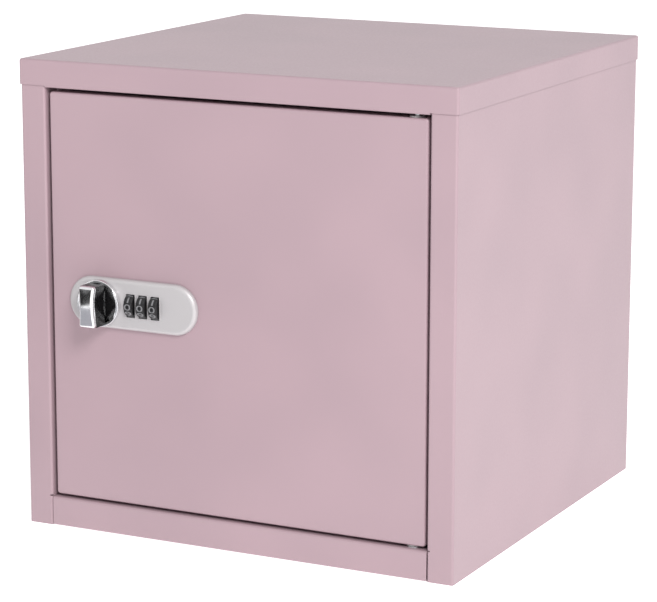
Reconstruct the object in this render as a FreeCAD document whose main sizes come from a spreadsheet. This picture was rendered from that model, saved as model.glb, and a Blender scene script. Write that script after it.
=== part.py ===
import FreeCAD, Part
import math
import os
import re
import Sketcher

# Sheet-steel cube locker with an inset door on pivot pins and a combination cam lock.
# Frame: origin at the middle of the underside, +X to the right, -Y to the front, +Z up.

SIZES = {
    # casing
    "body_width": 348.2,
    "body_depth": 343.2,
    "body_height": 350,
    "gauge": 0.8,
    "bend": 1.8,
    "fit_gap": 0.1,
    "skirt_join": 3,
    "cap_overhang": 0.9,
    "cap_skirt": 18.8,
    "header_drop": 1.4,
    "header_half": 153.5,
    "lip_depth": 16.5,
    "lip_turn": 8,
    "post_width": 20.2,
    "post_return": 18,
    "stop_flange": 11,
    "rear_flange": 16,
    "rail_height": 22.1,
    "relief": 1,
    "relief_width": 2.2,
    "rail_seam": 0.35,
    "strip_lap": 1,
    "upstand": 14,
    "floor_start": 19.5,
    # wall fixing holes and the rivets of the back
    "wall_hole_radius": 3.5,
    "wall_hole_x": 110,
    "wall_hole_low": 60,
    "wall_hole_high": 290,
    "rivet_radius": 1.6,
    "rivet_head": 3.2,
    "rivet_rise": 0.8,
    "rivet_dome": 0.7,
    "rivet_play": 0.05,
    "rivet_tail": 0.3,
    "rivet_tail_height": 1,
    "back_rivet_inset": 8,
    "back_rivet_low": 40,
    "back_rivet_step": 90,
    # door
    "door_side_gap": 2.6,
    "door_low": 24.2,
    "door_high": 326.8,
    "door_recess": 2,
    "door_thickness": 14,
    "door_corner": 2.4,
    "door_fold": 1.8,
    "door_lip": 10,
    "stiffener_x": 30,
    "stiffener_half": 15,
    "stiffener_flange": 10,
    "stiffener_depth": 9,
    "stiffener_margin": 16,
    "bumper_radius": 4.5,
    "bumper_thickness": 1.1,
    "bumper_margin": 35,
    # hinge
    "pin_radius": 2.2,
    "pin_head": 4,
    "pin_head_height": 1.5,
    "pin_reach": 9.5,
    "pin_inset": 11,
    "pin_setback": 7,
    "pin_play": 0.06,
    "pin_chamfer": 0.5,
    "bush_play": 0.05,
    "bush_radius": 4,
    "bush_flange": 5.5,
    "bush_flange_height": 0.9,
    "bush_tail": 1.3,
    "bracket_half": 12,
    "bracket_front": 2,
    "bracket_depth": 12.6,
    "bracket_thickness": 2,
    "bracket_rivet": 8.5,
    # lock
    "lock_level": 175,
    "plate_left": -135.2,
    "plate_length": 106.7,
    "plate_height": 37.5,
    "plate_thickness": 4,
    "plate_skin": 1,
    "screw_play": 0.2,
    "collar_play": 0.3,
    "plate_round": 3.2,
    "knob_x": -108.4,
    "knob_hole": 6,
    "wheel_first": -82.7,
    "wheel_pitch": 10.2,
    "wheel_radius": 8.8,
    "wheel_width": 6.6,
    "wheel_rise": 5,
    "wheel_play": 0.05,
    "window_width": 7.2,
    "window_height": 17.2,
    "sleeve_radius": 2.5,
    "sleeve_length": 9.8,
    "shaft_radius": 1.5,
    "shaft_play": 0.05,
    "shaft_setback": 1.2,
    "well_left": -90,
    "well_right": -55,
    "well_half": 9.4,
    "collar_wall": 1.3,
    "collar_end": 5,
    "flange_left": -134,
    "flange_right": -38,
    "flange_half": 15,
    "flange_thickness": 2,
    "case_left": -124,
    "case_right": -48.5,
    "case_half": 12,
    "case_depth": 12,
    "cover_thickness": 1.5,
    "lock_screw_left": -128.8,
    "lock_screw_right": -44,
    "lock_screw_radius": 1.5,
    "lock_screw_head": 2.7,
    "lock_screw_head_height": 1.8,
    "lock_screw_bite": 2.4,
    "lock_screw_chamfer": 0.4,
    "spring_thickness": 0.4,
    "spring_setback": 3.2,
    "spring_rib": 1.2,
    "spring_play": 0.4,
    "spring_lap": 0.05,
    # knob and cam
    "knob_radius": 17.4,
    "knob_rim_height": 3.9,
    "knob_rim": 2.2,
    "knob_rim_chamfer": 0.8,
    "knob_rim_lip": 0.5,
    "knob_floor": 1,
    "dish_thickness": 0.9,
    "dish_shoulder": 75,
    "grip_width": 13.6,
    "grip_waist": 2.4,
    "grip_length": 30.6,
    "grip_foot": 21.6,
    "dish_play": 0.1,
    "foot_play": 0.02,
    "grip_rise": 20.5,
    "cap_depth": 4,
    "cap_inset": 0.3,
    "spindle_radius": 4.5,
    "spindle_play": 0.06,
    "spindle_thread": 3,
    "spindle_tail": 7,
    "cam_gap": 0.7,
    "cam_thickness": 2,
    "cam_tip_flat": 1,
    "cam_width": 16,
    "cam_reach": 42,
    "washer_radius": 6,
    "washer_thickness": 1,
    "nut_across": 10,
    "nut_height": 3,
    "keeper_thickness": 0.8,
    "keeper_half": 16,
}

SHEET_NAME = "Dims"
SAME_PLACE = 0.02
TOUCHING = 0.001

# Stretches that many pieces share, written in the sheet's names.
FRONT = "(0 - body_depth / 2)"
REAR = "(body_depth / 2)"
HALF = "(body_width / 2)"
HEADER = "(body_height - cap_skirt - header_drop)"
DOOR_HALF = "(body_width / 2 - post_width - door_side_gap)"
DOOR_FACE = f"({FRONT} + door_recess)"
DOOR_REAR = f"({FRONT} + door_recess + door_thickness)"
PIN_X = f"({DOOR_HALF} - pin_inset)"
PIN_Y = f"({FRONT} + door_recess + pin_setback)"
PLATE_FACE = f"({DOOR_FACE} - plate_thickness)"
FLANGE_REAR = f"({DOOR_FACE} + gauge + fit_gap + flange_thickness)"
CASE_REAR = f"({FLANGE_REAR} + case_depth)"
COVER_REAR = f"({CASE_REAR} + cover_thickness)"
WHEEL_Y = f"({PLATE_FACE} - wheel_rise + wheel_radius)"
KNOB_REAR = f"({PLATE_FACE} - fit_gap)"
KNOB_FLOOR = f"({KNOB_REAR} - knob_floor)"
CAM_FRONT = f"({COVER_REAR} + cam_gap)"
CAM_REAR = f"({CAM_FRONT} + cam_thickness)"

doc = FreeCAD.newDocument("locker_cabinet")


def fill_sheet():
    """Write each driving size into the sheet with its own alias."""
    sheet = doc.addObject("Spreadsheet::Sheet", SHEET_NAME)
    for row, (name, size) in enumerate(SIZES.items(), start=1):
        sheet.set(f"A{row}", name)
        sheet.set(f"B{row}", str(size))
        sheet.setAlias(f"B{row}", name)
    doc.recompute()
    return sheet


def bound(text):
    """Point every size named in an expression at its cell."""
    return re.sub(
        r"[a-z][a-z_]*",
        lambda word: f"{SHEET_NAME}.{word.group()}" if word.group() in SIZES else word.group(),
        text,
    )


def size(text):
    """The value of an expression in the sheet's names, in millimetres."""
    return float(dims.evalExpression(bound(text)))


# ---------------------------------------------------------------- bodies and sketches


def new_body(label):
    body = doc.addObject("PartDesign::Body", label)
    body.Label = label
    return body


def attach(body, plane, height):
    """A sketch on one of the body's own origin planes, moved along its normal to height."""
    sketch = body.newObject("Sketcher::SketchObject", f"{body.Name}_sketch")
    origin = [item for item in body.Origin.OriginFeatures if item.Role == f"{plane}_Plane"][0]
    sketch.AttachmentSupport = [(origin, "")]
    sketch.MapMode = "FlatFace"
    along = f"0 - ({height})" if plane == "XZ" else height
    sketch.setExpression(".AttachmentOffset.Base.z", bound(along))
    return sketch


def tie(sketch, geometry, vertex, across, up):
    """Hold one vertex at an offset from the sketch's origin, both ways bound to the sheet."""
    for kind, text in (("DistanceX", across), ("DistanceY", up)):
        index = sketch.addConstraint(Sketcher.Constraint(kind, -1, 1, geometry, vertex, size(text)))
        sketch.renameConstraint(index, f"{kind}_{index}")
        sketch.setExpression(f"Constraints.{kind}_{index}", bound(text))


def tie_radius(sketch, geometry, text):
    index = sketch.addConstraint(Sketcher.Constraint("Radius", geometry, size(text)))
    sketch.renameConstraint(index, f"Radius_{index}")
    sketch.setExpression(f"Constraints.Radius_{index}", bound(text))


def corner_trim(points, index):
    """Where a rounded square corner starts and ends, as expressions and as vectors."""
    across, up, radius = points[index]
    here = FreeCAD.Vector(size(across), size(up), 0)
    ends = []
    for neighbour in (points[index - 1], points[(index + 1) % len(points)]):
        step = FreeCAD.Vector(size(neighbour[0]), size(neighbour[1]), 0) - here
        step.normalize()
        place = (f"{across} + ({round(step.x)}) * ({radius})", f"{up} + ({round(step.y)}) * ({radius})")
        ends.append((place, here + step * size(radius)))
    return ends


def draw_outline(sketch, points):
    """A closed outline of level and upright lines; a point with a third entry is a rounded corner."""
    corners = []
    for index, point in enumerate(points):
        if len(point) == 3:
            corners.append(corner_trim(points, index))
        else:
            spot = FreeCAD.Vector(size(point[0]), size(point[1]), 0)
            corners.append([(point, spot)])
    lines = []
    for here, there in zip(corners, corners[1:] + corners[:1]):
        lines.append(sketch.addGeometry(Part.LineSegment(here[-1][1], there[0][1]), False))
    for index, corner in enumerate(corners):
        before = lines[index - 1]
        after = lines[index]
        tie(sketch, after, 1, *corner[-1][0])
        if len(corner) == 1:
            sketch.addConstraint(Sketcher.Constraint("Coincident", before, 2, after, 1))
            continue
        tie(sketch, before, 2, *corner[0][0])
        round_corner(sketch, before, after, corner, points[index])


def round_corner(sketch, before, after, corner, point):
    """The quarter arc between two trimmed lines of an outline."""
    (_, first), (_, last) = corner
    here = FreeCAD.Vector(size(point[0]), size(point[1]), 0)
    centre = first + last - here
    reach = size(point[2])
    middle = centre + (here - centre).normalize() * reach
    arc = sketch.addGeometry(Part.Arc(first, middle, last), False)
    starts_first = sketch.getPoint(arc, 1).distanceToPoint(first) < TOUCHING
    sketch.addConstraint(Sketcher.Constraint("Coincident", before, 2, arc, 1 if starts_first else 2))
    sketch.addConstraint(Sketcher.Constraint("Coincident", after, 1, arc, 2 if starts_first else 1))
    tie_radius(sketch, arc, point[2])


def draw_circle(sketch, across, up, radius):
    centre = FreeCAD.Vector(size(across), size(up), 0)
    circle = Part.Circle(centre, FreeCAD.Vector(0, 0, 1), size(radius))
    index = sketch.addGeometry(circle, False)
    tie(sketch, index, 3, across, up)
    tie_radius(sketch, index, radius)


def draw_slot(sketch, start, end, up, radius):
    """A level slot with full round ends, from the centre of one end to that of the other."""
    level = size(up)
    reach = size(radius)
    centres = [FreeCAD.Vector(size(start), level, 0), FreeCAD.Vector(size(end), level, 0)]
    quarter = math.pi / 2
    ends = []
    for centre, first in zip(centres, (quarter, -quarter)):
        circle = Part.Circle(centre, FreeCAD.Vector(0, 0, 1), reach)
        arc = Part.ArcOfCircle(circle, first, first + 2 * quarter)
        ends.append(sketch.addGeometry(arc, False))
    top = sketch.addGeometry(
        Part.LineSegment(centres[1] + FreeCAD.Vector(0, reach, 0), centres[0] + FreeCAD.Vector(0, reach, 0)),
        False,
    )
    low = sketch.addGeometry(
        Part.LineSegment(centres[0] - FreeCAD.Vector(0, reach, 0), centres[1] - FreeCAD.Vector(0, reach, 0)),
        False,
    )
    sketch.addConstraint(Sketcher.Constraint("Tangent", top, 2, ends[0], 1))
    sketch.addConstraint(Sketcher.Constraint("Tangent", ends[0], 2, low, 1))
    sketch.addConstraint(Sketcher.Constraint("Tangent", low, 2, ends[1], 1))
    sketch.addConstraint(Sketcher.Constraint("Tangent", ends[1], 2, top, 1))
    tie(sketch, ends[0], 3, start, up)
    tie(sketch, ends[1], 3, end, up)
    tie_radius(sketch, ends[0], radius)


def rectangle(left, right, low, high):
    return [(left, low), (right, low), (right, high), (left, high)]


def rounded(points, radius):
    """The same outline with every corner rounded."""
    return [point + (radius,) for point in points]


def extrude(body, kind, plane, start, end, draw):
    """A pad or a pocket between two heights along the plane's axis; draw fills its sketch."""
    grows_back = plane == "XZ"
    adds = kind == "Pad"
    base = end if grows_back == adds else start
    sketch = attach(body, plane, base)
    draw(sketch)
    feature = body.newObject(f"PartDesign::{kind}", f"{body.Name}_{kind.lower()}")
    feature.Profile = sketch
    feature.setExpression("Length", bound(f"{end} - ({start})"))
    doc.recompute()
    return feature


def pad(body, plane, start, end, points):
    return extrude(body, "Pad", plane, start, end, lambda sketch: draw_outline(sketch, points))


def cut(body, plane, start, end, points):
    return extrude(body, "Pocket", plane, start, end, lambda sketch: draw_outline(sketch, points))


def drill(body, plane, start, end, holes, radius):
    """Round holes, each given by where its centre is in the sketch."""

    def draw(sketch):
        for across, up in holes:
            draw_circle(sketch, across, up, radius)

    return extrude(body, "Pocket", plane, start, end, draw)


def near(value, text):
    return abs(value - size(text)) < SAME_PLACE


def round_edges(body, radius, chosen):
    """Fillet the edges that chosen picks by their bounding box."""
    base = body.Tip
    names = [f"Edge{i}" for i, edge in enumerate(base.Shape.Edges, start=1) if chosen(edge.BoundBox)]
    if not names:
        raise RuntimeError(f"{body.Label}: no edge to round")
    fillet = body.newObject("PartDesign::Fillet", f"{body.Name}_fillet")
    fillet.Base = (base, names)
    fillet.setExpression("Radius", bound(radius))
    doc.recompute()
    return fillet


def turned(label, outline, tilt, x, y, z):
    """A turned piece: outline is (radius, height) about its own +Z, which tilt then lays down."""
    body = new_body(label)
    sketch = attach(body, "XZ", "0")
    draw_outline(sketch, outline)
    feature = body.newObject("PartDesign::Revolution", f"{body.Name}_turn")
    feature.Profile = sketch
    feature.ReferenceAxis = (sketch, ["V_Axis"])
    feature.Angle = 360
    tilts = {
        "up": FreeCAD.Rotation(),
        "front": FreeCAD.Rotation(FreeCAD.Vector(1, 0, 0), 90),
        "right": FreeCAD.Rotation(FreeCAD.Vector(0, 1, 0), 90),
    }
    body.Placement = FreeCAD.Placement(FreeCAD.Vector(), tilts[tilt])
    for axis, text in (("x", x), ("y", y), ("z", z)):
        body.setExpression(f".Placement.Base.{axis}", bound(text))
    doc.recompute()
    return body


def solid_outline(steps):
    """The outline of a solid turned piece from its (radius, height) steps, closed on the axis."""
    return [("0", steps[0][1])] + list(steps) + [("0", steps[-1][1])]


def ring_outline(inner, outer, height):
    return [(inner, "0"), (outer, "0"), (outer, height), (inner, height)]


def box(name, x, y, z):
    """A Part box between two expressions on each axis."""
    item = doc.addObject("Part::Box", name)
    for side, axis, (low, high) in (("Length", "x", x), ("Width", "y", y), ("Height", "z", z)):
        item.setExpression(side, bound(f"{high} - ({low})"))
        item.setExpression(f".Placement.Base.{axis}", bound(low))
    return item


def cylinder(name, radius, length, tilt, x, y, z):
    item = doc.addObject("Part::Cylinder", name)
    item.setExpression("Radius", bound(radius))
    item.setExpression("Height", bound(length))
    if tilt == "back":
        item.Placement.Rotation = FreeCAD.Rotation(FreeCAD.Vector(1, 0, 0), -90)
    for axis, text in (("x", x), ("y", y), ("z", z)):
        item.setExpression(f".Placement.Base.{axis}", bound(text))
    return item


def less(label, base, tools):
    """The base with each tool cut out of it in turn."""
    for number, tool in enumerate(tools, start=1):
        result = doc.addObject("Part::Cut", f"{label}_cut_{number}")
        result.Base = base
        result.Tool = tool
        base = result
    base.Label = label
    doc.recompute()
    return base


def group(label, members):
    """Identical fasteners in one sub-part, each a solid of its own."""
    result = doc.addObject("Part::Compound", f"{label}_group")
    result.Links = members
    result.Label = label
    doc.recompute()
    return result


# ---------------------------------------------------------------- casing


def top_panel():
    """Cap folded from one sheet: skirts all round and a header lip between the posts."""
    body = new_body("top_panel")
    half = f"({HALF} + cap_overhang)"
    front = f"({FRONT} - cap_overhang)"
    rear = f"({REAR} + cap_overhang)"
    skirt = "(body_height - cap_skirt)"
    pad(body, "XY", skirt, "body_height", rectangle(f"0 - {half}", half, front, rear))
    round_edges(body, "bend", lambda b: b.ZMax > size(skirt) + 1)
    inner = f"({half} - gauge)"
    shell = rectangle(f"0 - {inner}", inner, f"{front} + gauge", f"{rear} - gauge")
    cut(body, "XY", skirt, "body_height - gauge", shell)
    lip_top = f"({HEADER} + gauge)"
    lip_rear = f"({FRONT} + lip_depth)"
    join = f"({skirt} + skirt_join)"
    side = "header_half"
    cut(body, "XY", skirt, join, rectangle(f"0 - {side}", side, front, f"{front} + gauge"))
    fold = "bend - gauge"
    header = [
        (front, join),
        (front, HEADER, "bend"),
        (lip_rear, HEADER, "bend"),
        (lip_rear, f"{HEADER} + lip_turn"),
        (f"{lip_rear} - gauge", f"{HEADER} + lip_turn"),
        (f"{lip_rear} - gauge", lip_top, fold),
        (f"{front} + gauge", lip_top, fold),
        (f"{front} + gauge", join),
    ]
    pad(body, "YZ", f"0 - {side}", side, header)
    holes = [(PIN_X, PIN_Y)]
    drill(body, "XY", HEADER, lip_top, holes, "pin_radius + pin_play")
    drill(body, "XY", HEADER, lip_top, bracket_rivet_spots(), "rivet_radius")
    return body


def bracket_rivet_spots():
    return [(f"{PIN_X} - bracket_rivet", PIN_Y), (f"{PIN_X} + bracket_rivet", PIN_Y)]


def post_profile(side, width, stop):
    """The side panel in plan: rear flange, side, front post, return and, if asked, stop flange."""
    rear_in = "rear_flange"
    fold = "bend - gauge"
    outline = [
        (rear_in, REAR),
        ("0", REAR, "bend"),
        ("0", FRONT, "bend"),
        (width, FRONT, "bend"),
    ]
    turn = f"{FRONT} + post_return"
    if stop:
        outline += [
            (width, f"{turn} - gauge", fold),
            (f"{width} + stop_flange", f"{turn} - gauge"),
            (f"{width} + stop_flange", turn),
            (f"{width} - gauge", turn, "bend"),
        ]
    else:
        outline += [(width, turn), (f"{width} - gauge", turn)]
    outline += [
        (f"{width} - gauge", f"{FRONT} + gauge", fold),
        ("gauge", f"{FRONT} + gauge", fold),
        ("gauge", f"{REAR} - gauge", fold),
        (rear_in, f"{REAR} - gauge"),
    ]
    return [(f"{side} * ({HALF} - ({point[0]}))",) + point[1:] for point in outline]


def side_panel(label, side, stop):
    """One side with its front post, relieved at the fold where the top of the rail meets it."""
    body = new_body(label)
    step = "(rail_height + relief)"
    top = "(body_height - gauge - fit_gap)"
    pad(body, "XY", step, top, post_profile(side, "post_width", stop))
    pad(body, "XY", "0", step, post_profile(side, "post_width", False))
    edge = f"{side} * ({HALF} - post_width)"
    inside = f"{side} * ({HALF} - post_width + relief_width)"
    cut(body, "XY", "rail_height", step, rectangle(inside, edge, FRONT, f"{FRONT} + relief_width"))
    spots = [(f"{side} * ({HALF} - back_rivet_inset)", level) for level in back_rivet_levels()]
    drill(body, "XZ", f"{REAR} - gauge", REAR, spots, "rivet_radius")
    return body


def back_rivet_levels():
    return [f"(back_rivet_low + {step} * back_rivet_step)" for step in range(4)]


def bottom_panel():
    """Floor pan, notched round the posts, with the front rail, its top lip and three upstands."""
    body = new_body("bottom_panel")
    rail = f"({HALF} - post_width - rail_seam)"
    wide = f"({HALF} - gauge - fit_gap)"
    notch = f"({FRONT} + floor_start)"
    rear = f"({REAR} - 2 * gauge - 2 * fit_gap)"
    lip_rear = f"({FRONT} + lip_depth)"
    fold = "bend - gauge"
    profile = [
        (rear, "0"),
        (FRONT, "0", "bend"),
        (FRONT, "rail_height", "bend"),
        (lip_rear, "rail_height", "bend"),
        (lip_rear, "rail_height - lip_turn"),
        (f"{lip_rear} - gauge", "rail_height - lip_turn"),
        (f"{lip_rear} - gauge", "rail_height - gauge", fold),
        (f"{FRONT} + gauge", "rail_height - gauge", fold),
        (f"{FRONT} + gauge", "gauge", fold),
        (rear, "gauge"),
    ]
    pad(body, "YZ", f"0 - {rail}", rail, profile)
    for side in (-1, 1):
        strip = rectangle(f"{side} * ({rail} - strip_lap)", f"{side} * {wide}", notch, rear)
        pad(body, "XY", "0", "gauge", strip)
    for side in (-1, 1):
        flange = rectangle(f"{side} * ({wide} - gauge)", f"{side} * {wide}", notch, rear)
        pad(body, "XY", "0", "upstand", flange)
    back = rectangle(f"0 - {wide}", wide, f"{rear} - gauge", rear)
    pad(body, "XY", "0", "upstand", back)
    holes = [(PIN_X, PIN_Y)]
    drill(body, "XY", "rail_height - gauge", "rail_height", holes, "pin_radius + pin_play")
    drill(body, "XY", "rail_height - gauge", "rail_height", bracket_rivet_spots(), "rivet_radius")
    return body


def back_panel():
    """Flat back, riveted in front of the rear flanges, with the four wall fixing holes."""
    body = new_body("back_panel")
    half = f"({HALF} - bend - fit_gap)"
    front = f"({REAR} - 2 * gauge - fit_gap)"
    rear = f"({REAR} - gauge - fit_gap)"
    sheet = rectangle(f"0 - {half}", half, "gauge", "body_height - gauge - fit_gap")
    pad(body, "XZ", front, rear, sheet)
    levels = ("wall_hole_low", "wall_hole_high")
    walls = [(f"{side} * wall_hole_x", level) for side in (-1, 1) for level in levels]
    drill(body, "XZ", front, rear, walls, "wall_hole_radius")
    spots = [
        (f"{side} * ({HALF} - back_rivet_inset)", level) for side in (-1, 1) for level in back_rivet_levels()
    ]
    drill(body, "XZ", front, rear, spots, "rivet_radius")
    return body


def back_rivets():
    """Blind rivets through the rear flanges and the back, domed heads outside."""
    members = []
    seat = "rivet_tail_height + 2 * gauge + fit_gap"
    steps = [
        ("rivet_radius + rivet_tail", "0"),
        ("rivet_radius + rivet_tail", "rivet_tail_height - fit_gap"),
        ("rivet_radius - rivet_play", "rivet_tail_height - fit_gap"),
        ("rivet_radius - rivet_play", seat),
        ("rivet_head", seat),
        ("rivet_head - rivet_dome", f"{seat} + rivet_rise - rivet_play"),
    ]
    for side in (-1, 1):
        for number, level in enumerate(back_rivet_levels(), start=1):
            name = f"back_rivet_{'left' if side < 0 else 'right'}_{number}"
            rivet = turned(
                name,
                solid_outline(steps),
                "front",
                f"{side} * ({HALF} - back_rivet_inset)",
                f"{REAR} - ({seat})",
                level,
            )
            rivet.Placement = FreeCAD.Placement(
                rivet.Placement.Base, FreeCAD.Rotation(FreeCAD.Vector(1, 0, 0), -90)
            )
            members.append(rivet)
    return group("back_panel_rivets", members)


def strike_plate():
    """Keeper welded behind the left stop flange, where the cam bears."""
    outer = f"0 - ({HALF} - post_width)"
    inner = f"0 - ({HALF} - post_width - stop_flange)"
    start = f"{FRONT} + post_return"
    levels = ("lock_level - keeper_half", "lock_level + keeper_half")
    plate = box("strike_plate_box", (outer, inner), (start, f"{start} + keeper_thickness"), levels)
    plate.Label = "strike_plate"
    return plate


def door_bumpers():
    """Two rubber pads on the stop flange that the closed door rests against."""
    x = f"0 - ({HALF} - post_width - stop_flange / 2)"
    y = f"{FRONT} + post_return - gauge - bumper_thickness"
    members = [
        cylinder(f"bumper_{name}", "bumper_radius", "bumper_thickness", "back", x, y, level)
        for name, level in (("low", "door_low + bumper_margin"), ("high", "door_high - bumper_margin"))
    ]
    return group("door_bumpers", members)


# ---------------------------------------------------------------- hinge


def hinge_bracket(label, low):
    """Reinforcing plate on the header lip or under the rail lip, bored for the pin and two rivets."""
    high = f"{low} + bracket_thickness"
    x = (f"{PIN_X} - bracket_half", f"{PIN_X} + bracket_half")
    y = (f"{FRONT} + bracket_front", f"{FRONT} + bracket_front + bracket_depth")
    plate = box(f"{label}_plate", x, y, (low, high))
    bore = cylinder(f"{label}_bore", "pin_radius + pin_play", "bracket_thickness", "up", PIN_X, PIN_Y, low)
    tools = [bore]
    for number, (across, along) in enumerate(bracket_rivet_spots(), start=1):
        name = f"{label}_rivet_hole_{number}"
        tools.append(cylinder(name, "rivet_radius", "bracket_thickness", "up", across, along, low))
    return less(label, plate, tools)


def hinge_pin(label, upward, seat):
    """Headed pivot pin; its head sits on the bracket and its shank reaches into the door."""
    reach = "(bracket_thickness + gauge + pin_reach)"
    steps = [
        ("pin_head", "0"),
        ("pin_head", "pin_head_height"),
        ("pin_radius", "pin_head_height"),
        ("pin_radius", f"pin_head_height + {reach} - pin_chamfer"),
        ("pin_radius - pin_chamfer", f"pin_head_height + {reach}"),
    ]
    pin = turned(label, solid_outline(steps), "up", PIN_X, PIN_Y, seat)
    if not upward:
        flip = FreeCAD.Rotation(FreeCAD.Vector(1, 0, 0), 180)
        pin.Placement = FreeCAD.Placement(pin.Placement.Base, flip)
        doc.recompute()
    return pin


def hinge_bush(label, upward, seat):
    """Flanged nylon bush in the door's folded edge; its flange shows in the gap round the pin."""
    bore = "pin_radius + pin_play"
    body = "bush_radius - bush_play"
    height = "(bush_flange_height + gauge + bush_tail)"
    outline = [
        (bore, "0"),
        ("bush_flange", "0"),
        ("bush_flange", "bush_flange_height"),
        (body, "bush_flange_height"),
        (body, height),
        (bore, height),
    ]
    bush = turned(label, outline, "up", PIN_X, PIN_Y, seat)
    if not upward:
        flip = FreeCAD.Rotation(FreeCAD.Vector(1, 0, 0), 180)
        bush.Placement = FreeCAD.Placement(bush.Placement.Base, flip)
        doc.recompute()
    return bush


def hinge_rivets():
    """Four rivets that hold the two brackets, heads away from the gaps."""
    steps = [
        ("rivet_radius - rivet_play", "0"),
        ("rivet_radius - rivet_play", "gauge + bracket_thickness"),
        ("rivet_head", "gauge + bracket_thickness"),
        ("rivet_head - rivet_dome", "gauge + bracket_thickness + rivet_rise"),
    ]
    flip = FreeCAD.Rotation(FreeCAD.Vector(1, 0, 0), 180)
    members = []
    for where, level, turn in (("upper", HEADER, None), ("lower", "rail_height", flip)):
        for number, (across, along) in enumerate(bracket_rivet_spots(), start=1):
            name = f"hinge_rivet_{where}_{number}"
            rivet = turned(name, solid_outline(steps), "up", across, along, level)
            if turn:
                rivet.Placement = FreeCAD.Placement(rivet.Placement.Base, turn)
            members.append(rivet)
    return group("hinge_rivets", members)


def hinge():
    hinge_bracket("upper_hinge_bracket", f"({HEADER} + gauge)")
    hinge_bracket("lower_hinge_bracket", "(rail_height - gauge - bracket_thickness)")
    hinge_pin("upper_hinge_pin", False, f"{HEADER} + gauge + bracket_thickness + pin_head_height")
    hinge_pin("lower_hinge_pin", True, "rail_height - gauge - bracket_thickness - pin_head_height")
    hinge_bush("upper_hinge_bush", False, "door_high + bush_flange_height")
    hinge_bush("lower_hinge_bush", True, "door_low - bush_flange_height")
    outline = ring_outline("pin_radius + pin_play", "bush_flange", "bush_flange_height")
    turned("lower_hinge_washer", outline, "up", PIN_X, PIN_Y, "rail_height")
    hinge_rivets()


# ---------------------------------------------------------------- door


def door_skin():
    """Door pan: front, four folded sides and a narrow lip round the open back."""
    body = new_body("door_skin")
    left = f"0 - {DOOR_HALF}"
    outline = rounded(rectangle(left, DOOR_HALF, "door_low", "door_high"), "door_corner")
    pad(body, "XZ", DOOR_FACE, DOOR_REAR, outline)
    round_edges(body, "door_fold", lambda b: near(b.YMin, DOOR_FACE) and b.YLength < SAME_PLACE)
    inner = f"({DOOR_HALF} - gauge)"
    pan = rounded(
        rectangle(f"0 - {inner}", inner, "door_low + gauge", "door_high - gauge"), "door_corner - gauge"
    )
    cut(body, "XZ", f"{DOOR_FACE} + gauge", f"{DOOR_REAR} - gauge", pan)
    opening = rectangle(
        f"0 - {DOOR_HALF} + door_lip",
        f"{DOOR_HALF} - door_lip",
        "door_low + door_lip",
        "door_high - door_lip",
    )
    cut(body, "XZ", f"{DOOR_REAR} - gauge", DOOR_REAR, opening)
    well = rectangle(
        "well_left - collar_end - collar_play",
        "well_right + collar_end + collar_play",
        "lock_level - well_half - collar_wall - collar_play",
        "lock_level + well_half + collar_wall + collar_play",
    )
    cut(body, "XZ", DOOR_FACE, f"{DOOR_FACE} + gauge", well)
    drill(body, "XZ", DOOR_FACE, f"{DOOR_FACE} + gauge", [("knob_x", "lock_level")], "knob_hole")
    screws = [("lock_screw_left", "lock_level"), ("lock_screw_right", "lock_level")]
    drill(body, "XZ", DOOR_FACE, f"{DOOR_FACE} + gauge", screws, "lock_screw_radius + screw_play")
    for low in ("door_low", "(door_high - gauge)"):
        drill(body, "XY", low, f"{low} + gauge", [(PIN_X, PIN_Y)], "bush_radius")
    return body


def door_stiffener():
    """Hat channel welded up the middle of the door's inner face."""
    body = new_body("door_stiffener")
    face = f"({DOOR_FACE} + gauge)"
    crown = f"({face} + stiffener_depth)"
    half = "stiffener_half"
    brim = "(stiffener_half + stiffener_flange)"
    right = [
        (brim, face),
        (brim, f"{face} + gauge"),
        (half, f"{face} + gauge"),
        (half, crown),
    ]
    inside = [
        (f"({half} - gauge)", f"{crown} - gauge"),
        (f"({half} - gauge)", face),
    ]
    outline = [(f"stiffener_x + {across}", along) for across, along in right]
    outline += [(f"stiffener_x - {across}", along) for across, along in reversed(right)]
    outline += [(f"stiffener_x - {across}", along) for across, along in reversed(inside)]
    outline += [(f"stiffener_x + {across}", along) for across, along in inside]
    pad(body, "XY", "door_low + stiffener_margin", "door_high - stiffener_margin", outline)
    return body


# ---------------------------------------------------------------- lock


def wheel_x(number):
    return f"(wheel_first + {number - 1} * wheel_pitch)"


def lock_faceplate():
    """Oblong escutcheon with full round ends, three windows and the knob's hole."""
    body = new_body("lock_faceplate")
    radius = "plate_height / 2"
    start = f"plate_left + {radius}"
    end = f"plate_left + plate_length - {radius}"
    extrude(
        body,
        "Pad",
        "XZ",
        PLATE_FACE,
        DOOR_FACE,
        lambda sketch: draw_slot(sketch, start, end, "lock_level", radius),
    )
    round_edges(body, "plate_round", lambda b: near(b.YMin, PLATE_FACE) and b.YLength < SAME_PLACE)
    pocket = rectangle(
        "well_left - collar_end - fit_gap",
        "well_right + collar_end + fit_gap",
        "lock_level - well_half - collar_wall - fit_gap",
        "lock_level + well_half + collar_wall + fit_gap",
    )
    cut(body, "XZ", f"{PLATE_FACE} + plate_skin", DOOR_FACE, pocket)
    for number in (1, 2, 3):
        window = rectangle(
            f"{wheel_x(number)} - window_width / 2",
            f"{wheel_x(number)} + window_width / 2",
            "lock_level - window_height / 2",
            "lock_level + window_height / 2",
        )
        cut(body, "XZ", PLATE_FACE, f"{PLATE_FACE} + plate_skin", window)
    drill(body, "XZ", PLATE_FACE, DOOR_FACE, [("knob_x", "lock_level")], "knob_hole")
    screws = [("lock_screw_left", "lock_level"), ("lock_screw_right", "lock_level")]
    drill(body, "XZ", f"{DOOR_FACE} - lock_screw_bite", DOOR_FACE, screws, "lock_screw_radius")
    return body


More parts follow.
